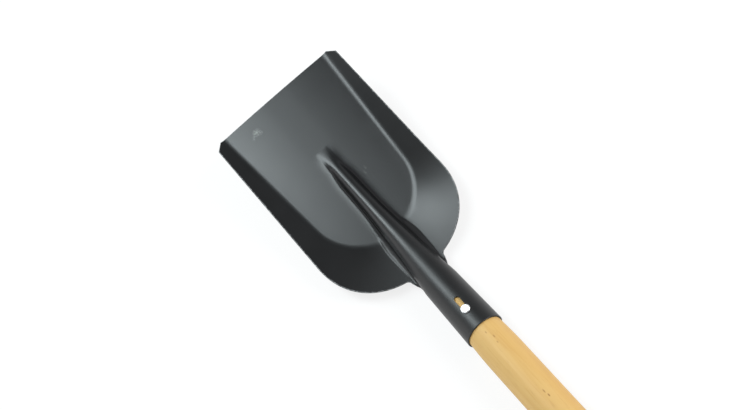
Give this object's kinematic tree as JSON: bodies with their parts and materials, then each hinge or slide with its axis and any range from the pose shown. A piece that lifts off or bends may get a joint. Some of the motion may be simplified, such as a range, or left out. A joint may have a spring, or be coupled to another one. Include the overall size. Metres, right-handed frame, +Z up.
{
  "type": "transplanting spade",
  "caption": "Narrow flat-mouthed steel spade blade with turned-up sides, a raised rib and a rolled socket nailed to a straight round wooden handle.",
  "frame": {"origin": "on the ground the spade lies on, under the middle of its length, dish up", "axes": "+Y along the level handle from the blade to its free end, +X across the blade, +Z up out of the dish"},
  "size_m": [0.1534, 0.9214, 0.0547],
  "materials": {
    "painted_steel": "satin black paint",
    "varnished_wood": "clear satin varnish",
    "bright_zinc": "bright zinc plating"
  },
  "bodies": {
    "root": {"blade": "painted_steel", "handle": "varnished_wood", "fixing_nail": "bright_zinc"}
  },
  "joints": []
}
